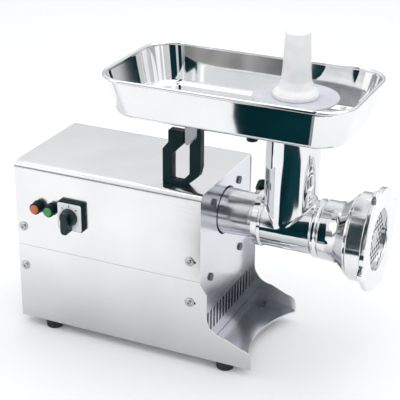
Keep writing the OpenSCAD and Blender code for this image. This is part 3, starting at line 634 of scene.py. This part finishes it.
def make_socket():
    """The socket tube with its flange on the casing and its boss for the lock knob, then the knob."""
    bore, flange_x, flange_r = 26.1, 292.1, 45
    bm = bmesh.new()
    tube = fillet([(bore, 300), (bore, 357), (32.4, 357, 0.9), (33.4, 356, 0.9), (33.4, 351, 0.6),
                   (32.6, 350.2), (34.2, 302, 1.2), (35.2, 300.4, 0.8), (38.2, 299.6, 0.9),
                   (38.2, 297.15), (35.8, 297.15), (35.8, flange_x), (bore, flange_x)], steps=4)
    add_lathe(bm, tube, *BARREL_AXIS, count=144)
    flange = [(bore, flange_x), (flange_r, flange_x), (flange_r, 295.2)]
    add_lathe(bm, flange, *BARREL_AXIS, count=72)
    boss = fillet([(8, 27), (8, 39, 1.2), (4.1, 39, 0.4), (4.1, 27)], steps=3)
    add_lathe(bm, boss, *LOCK_AXIS, count=48)
    finish_piece("socket_turned", bm, BODY_OF["head_socket"], "socket",
                 ["head_socket"])

    bm = bmesh.new()
    stem = [(0, 26.5), (4, 26.5), (4, 39.7), (5.6, 39.7), (6, 40.1), (6, 43), (4, 43)]
    add_lathe(bm, stem, *LOCK_AXIS, count=40)
    knob = fillet([(5, 43), (10.2, 43, 0.8), (10.4, 57, 2.6), (5, 57.9, 2), (0, 57.4)], steps=6)
    add_lathe(bm, knob, *LOCK_AXIS, count=96, radius_at=knob_radius)
    finish_piece("lock_knob_moulded", bm, BODY_OF["lock_knob"], "knob", ["lock_knob"])


# ---------- pusher ----------

def make_pusher():
    bm = bmesh.new()
    grip = fillet([(0, 407.05), (31.4, 407.05, 0.8), (32.4, 408, 0.8), (32.4, 412, 2.2),
                   (30.0, 415.6, 3.0), (25.2, 420.8, 9), (21.2, 431, 16), (19.7, 447, 30),
                   (18.9, 466, 30), (17.9, 486, 20), (17.4, 498.4, 3.2), (13, 499.9, 8),
                   (0, 499.9)], steps=10)
    add_lathe(bm, grip, *NECK_AXIS, count=96)
    finish_piece("pusher_grip", bm, BODY_OF["pusher_handle"], "white",
                 ["pusher_handle"], sharp=50)

    bm = bmesh.new()
    disc = fillet([(0, 404), (60.9, 404, 1.2), (60.9, 407, 1.2), (0, 407)], steps=6)
    add_lathe(bm, disc, *NECK_AXIS, count=160)
    finish_piece("guard_disc", bm, BODY_OF["pusher_guard"], "guard",
                 ["pusher_guard"])


# ---------- handle ----------

HANDLE_Y, HANDLE_W = -70, 14
REST_Y, REST_W = -67, 8


def make_handle():
    """The black loop, drawn from the side as one outline, and the steel plate on its open top."""
    top = TRAY_Z - 0.3
    bm = bmesh.new()
    loop = fillet([(234, 273, 1.5), (270, 273, 4), (290, 291, 9), (293, 304, 5), (293, top),
                   (287.1, top), (287.1, 350.3, 2), (276, 338, 5), (276, 293, 6), (263, 279.2, 5),
                   (249, 279.2, 2), (249, 318.5, 4), (255, 325, 3), (267, 337, 2), (267, 355),
                   (243, 355, 2), (243, 336, 5), (234, 325, 5)], closed=True, steps=5)
    add_prism(bm, loop, (0, HANDLE_Y, 0), (0, HANDLE_W, 0))
    finish_piece("handle_loop", bm, BODY_OF["carry_handle"], "black",
                 ["carry_handle"], bevel=1.3, sharp=40)

    bm = bmesh.new()
    plate = fillet([(267.3, 338.5), (270, 333, 2), (275.7, 338.6, 3), (286.6, 350.7, 2),
                    (286.6, top), (267.3, top)], closed=True, steps=4)
    add_prism(bm, plate, (0, REST_Y, 0), (0, REST_W, 0))
    finish_piece("rest_plate", bm, BODY_OF["tray_rest_plate"], "rest",
                 ["tray_rest_plate"], bevel=0.7, sharp=40)


# ---------- controls ----------

SWITCH_X, SWITCH_Z = 97.5, 204.5
STOP_X, START_X, BUTTON_Z = 39.5, 62.3, 207.0
# The three tick marks: degrees round the switch, distance from its middle, and their layer
TICK_TURNS, TICK_OUT = (-42, 0, 42), 17.3
TICK_START, TICK_RISE = 9.55, 0.2


def add_outward(bm, profile, x, z, count=64):
    """Turned shape standing out of the near side; heights are measured from the casing face."""
    add_lathe(bm, profile, (x, -SIDE_Y, z), OUTWARD, count)


def add_layer(bm, outline, x, z, start, rise):
    """Flat layer on the near side, which starts at a height above the casing face."""
    add_prism(bm, outline, (x, -SIDE_Y - start, z), (0, -rise, 0))


def make_controls():
    """Rotary switch and two push buttons; each layer of the switch starts inside the one below."""
    bm = bmesh.new()
    add_layer(bm, round_box(42, 45, 3.2), SWITCH_X, SWITCH_Z, start=0.05, rise=8)
    finish_piece("switch_housing", bm, BODY_OF["switch_plate"], "black",
                 ["switch_plate"], bevel=0.9, sharp=50)
    bm = bmesh.new()
    add_layer(bm, round_box(39, 42, 2.6), SWITCH_X, SWITCH_Z, start=7.9, rise=1.7)
    finish_piece("switch_face", bm, BODY_OF["switch_plate"], "face",
                 bevel=0.5, sharp=50)
    bm = bmesh.new()
    for turn in TICK_TURNS:
        t = math.radians(turn)
        side, up = (math.cos(t), 0, -math.sin(t)), (math.sin(t), 0, math.cos(t))
        middle = Vector((SWITCH_X, -SIDE_Y - TICK_START, SWITCH_Z)) + Vector(up) * TICK_OUT
        add_prism(bm, round_box(1.3, 3.4, 0.5, 3), middle, (0, -TICK_RISE, 0), side, up)
    finish_piece("switch_ticks", bm, BODY_OF["switch_plate"], "mark")

    bm = bmesh.new()
    hub = fillet([(0, -1), (4, -1), (4, 9.8), (13.9, 9.8, 0.6), (13.9, 11.6, 1.0), (13.0, 12.6),
                  (12.4, 18, 1.6), (9.5, 19.2, 2), (0, 19.2)], steps=5)
    add_outward(bm, hub, SWITCH_X, SWITCH_Z, 72)
    lever = fillet([(-5.0, 11.5, 3.6), (5.0, 11.5, 3.6), (6.2, -8, 20), (6.0, -22, 5),
                    (-6.0, -22, 5), (-6.2, -8, 20)], closed=True, steps=6)
    add_layer(bm, lever, SWITCH_X, SWITCH_Z, start=12, rise=14.9)
    finish_piece("switch_lever", bm, BODY_OF["switch_knob"], "knob",
                 ["switch_knob"], bevel=1.1, sharp=50, segments=4)

    bm = bmesh.new()
    collar = fillet([(7.0, -24), (7.0, 11.9, 0.4), (8.9, 11.9, 1.0), (8.9, 1.4, 0.4),
                     (9.9, 0.9, 0.5), (9.9, 0.05), (7.9, 0.05), (7.9, -24), (7.0, -24)], steps=4)
    for x in (STOP_X, START_X):
        add_outward(bm, collar, x, BUTTON_Z)
    finish_piece("button_barrels", bm, BODY_OF["button_collars"], "black",
                 ["button_collars"], sharp=45)
    cap = fillet([(0, -5.9), (6.9, -5.9), (6.9, 13.6, 1.1), (5.2, 14.9, 1.6), (0, 14.9)], steps=6)
    for name, x, node, key in (("stop_cap", STOP_X, "stop_button", "stop"),
                               ("start_cap", START_X, "start_button", "start")):
        bm = bmesh.new()
        add_outward(bm, cap, x, BUTTON_Z)
        finish_piece(name, bm, BODY_OF[node], key, [node], sharp=45)


# ---------- screws and studs ----------

SCREW_XS, SCREW_ZS = (11, 288), (103, 169)
STUD_X, STUD_Y = 370, 70


def make_fittings():
    """Domed side screws over washers, each with a round recess, and the studs under the tray."""
    bm = bmesh.new()
    head = fillet([(2.05, -1.4), (2.05, 0.02), (7.6, 0.02), (7.6, 0.8, 0.3), (5.7, 0.95, 0.2),
                   (5.5, 1.5, 0.6), (4.0, 2.7, 2.4), (2.3, 2.95), (2.1, 1.2), (0, 1.2)], steps=4)
    for side in (-1, 1):
        for x in SCREW_XS:
            for z in SCREW_ZS:
                add_lathe(bm, head, (x, side * SIDE_Y, z), (0, side, 0), 48)
    finish_piece("side_screws", bm, BODY_OF["casing_screws"], "fastener",
                 ["casing_screws"])

    bm = bmesh.new()
    stud_r, stud_foot, stud_top = 7.9, TRAY_Z - 7.9, TRAY_Z - 0.05
    stud = fillet([(0, stud_foot), (stud_r, stud_foot, 1.6), (stud_r, stud_top), (0, stud_top)],
                  steps=5)
    for side in (-1, 1):
        add_lathe(bm, stud, (STUD_X, side * STUD_Y, 0), UP, 48)
    finish_piece("tray_studs", bm, BODY_OF["tray_stud"], "black", ["tray_stud"])


# ---------- stage, in metres of the row frame ----------

def make_floor():
    bm = bmesh.new()
    bmesh.ops.create_grid(bm, x_segments=1, y_segments=1, size=9.0)
    mesh = bpy.data.meshes.new("floor")
    bm.to_mesh(mesh)
    bm.free()
    floor = bpy.data.objects.new("floor", mesh)
    bpy.context.scene.collection.objects.link(floor)
    s = Shader("floor_white", (0.93, 0.93, 0.93), 0.0, 0.9)
    s.color(s.noise(scale=1.5, detail=2.0), (0.925, 0.925, 0.925), (0.935, 0.935, 0.935))
    mesh.materials.append(s.mat)


def make_world():
    """A white room that darkens towards the horizon and below it."""
    world = bpy.data.worlds.new("studio")
    bpy.context.scene.world = world
    world.use_nodes = True
    tree = world.node_tree
    back = tree.nodes["Background"]
    back.inputs["Strength"].default_value = 0.95
    sky = tree.nodes.new("ShaderNodeTexCoord")
    split = tree.nodes.new("ShaderNodeSeparateXYZ")
    ramp = tree.nodes.new("ShaderNodeValToRGB")
    tree.links.new(sky.outputs["Generated"], split.inputs["Vector"])
    tree.links.new(split.outputs["Z"], ramp.inputs["Fac"])
    tree.links.new(ramp.outputs["Color"], back.inputs["Color"])
    horizon, low_sky, high_sky = (0.30, 0.31, 0.32, 1), (0.46, 0.46, 0.46, 1), (0.97, 0.985, 1.0, 1)
    ramp.color_ramp.elements[0].color = horizon
    ramp.color_ramp.elements[1].position = 0.42
    ramp.color_ramp.elements[1].color = high_sky
    ramp.color_ramp.elements.new(0.12).color = low_sky
    bpy.context.scene.view_settings.view_transform = "Standard"


# Name, place, size in metres and power in watts
LAMPS = (
    ("softbox_top", (0.1, 0.2, 2.4), 2.6, 21.0),
    ("softbox_left", (-2.0, -1.2, 1.3), 1.6, 5.0),
    ("softbox_right", (2.2, -0.4, 1.2), 1.4, 3.0),
)
LAMP_TARGET = Vector((0, 0, 0.2))


def make_lamps():
    for name, place, size, power in LAMPS:
        lamp = bpy.data.lights.new(name, "AREA")
        lamp.size = size
        lamp.energy = power
        ob = bpy.data.objects.new(name, lamp)
        bpy.context.scene.collection.objects.link(ob)
        ob.location = place
        ob.rotation_euler = (LAMP_TARGET - Vector(place)).to_track_quat("-Z", "Y").to_euler()


def level_card(z, *corners):
    return [(x, y, z) for x, y in corners]


def wall_card(x0, x1, y, z0, z1):
    return [(x0, y, z0), (x1, y, z0), (x1, y, z1), (x0, y, z1)]


def flag_material(name, color):
    return Shader(name, color, 0.0, 1.0, Specular_IOR_Level=0.0)


def make_flags():
    """Dark and grey cards, as a studio sets beside polished metal, that paint dark and grey
    reflections into it; only reflections see them.
    """
    dark = flag_material("flag_dark", (0.001, 0.014, 0.017))
    dark.color(dark.noise(scale=4.0, detail=2.0), (0.001, 0.016, 0.020), (0.004, 0.040, 0.050),
               0.35, 0.75)
    warm = flag_material("flag_warm", (0.2, 0.19, 0.18))
    warm.color(warm.noise(scale=5.0, detail=2.0, stretch=(3.0, 1.0, 1.0)),
               (0.07, 0.075, 0.075), (0.42, 0.41, 0.40))
    # The grey card is painted shade for reflections: it darkens across the floor, from its near edge
    # to the edge under the casing
    apron_near, apron_far = -0.34, -0.09
    shade = flag_material("flag_grey", (0.5, 0.5, 0.5))
    split = shade.tree.nodes.new("ShaderNodeSeparateXYZ")
    shade.tree.links.new(shade.coords.outputs["Object"], split.inputs["Vector"])
    depth = shade.spread(split.outputs["Y"], 0.0, 1.0, apron_near, apron_far)
    shade.color(depth, (0.93, 0.935, 0.94), (0.60, 0.61, 0.615), 0.0, 1.0)
    cards = (
        ("flag_floor", dark, level_card(
            0.004, (-0.07, -0.35), (0.055, -0.35), (0.035, -0.50), (0.45, -0.50), (0.60, -0.38),
            (0.80, -0.50), (0.72, -0.80), (0.30, -0.98), (-0.02, -1.0), (-0.02, -1.2),
            (-0.286, -1.2), (-0.125, -0.76), (-0.17, -0.66), (-0.158, -0.55), (-0.115, -0.43))),
        ("flag_apron", shade, level_card(
            0.003, (-0.85, apron_near), (0.06, apron_near), (0.16, apron_far), (-0.85, apron_far))),
        ("flag_edge", warm, level_card(
            0.004, (0.056, -0.35), (0.13, -0.35), (0.11, -0.50), (0.036, -0.50))),
        ("flag_camera", dark, wall_card(-0.29, 0.0, -1.2, 0, 2.0)),
        ("flag_over", dark, level_card(
            2.0, (-0.30, -1.2), (-0.08, -1.2), (-0.08, 0.3), (-0.30, 0.3))),
        ("flag_wing", dark, wall_card(0.22, 0.95, -1.3, 0.2, 1.4)),
        ("flag_horizon", warm, wall_card(-1.0, -0.34, -1.25, 0.2, 0.66)),
    )
    for name, shader, corners in cards:
        mesh = bpy.data.meshes.new(name)
        mesh.from_pydata(corners, [], [range(len(corners))])
        mesh.materials.append(shader.mat)
        ob = bpy.data.objects.new(name, mesh)
        bpy.context.scene.collection.objects.link(ob)
        for ray in ("camera", "diffuse", "shadow", "transmission", "volume_scatter"):
            setattr(ob, "visible_" + ray, False)


make_camera()
dress_frame()
make_tray()
make_head_casting()
make_head_turned()
make_nut()
make_socket()
make_pusher()
make_handle()
make_controls()
make_fittings()
make_floor()
make_world()
make_lamps()
make_flags()
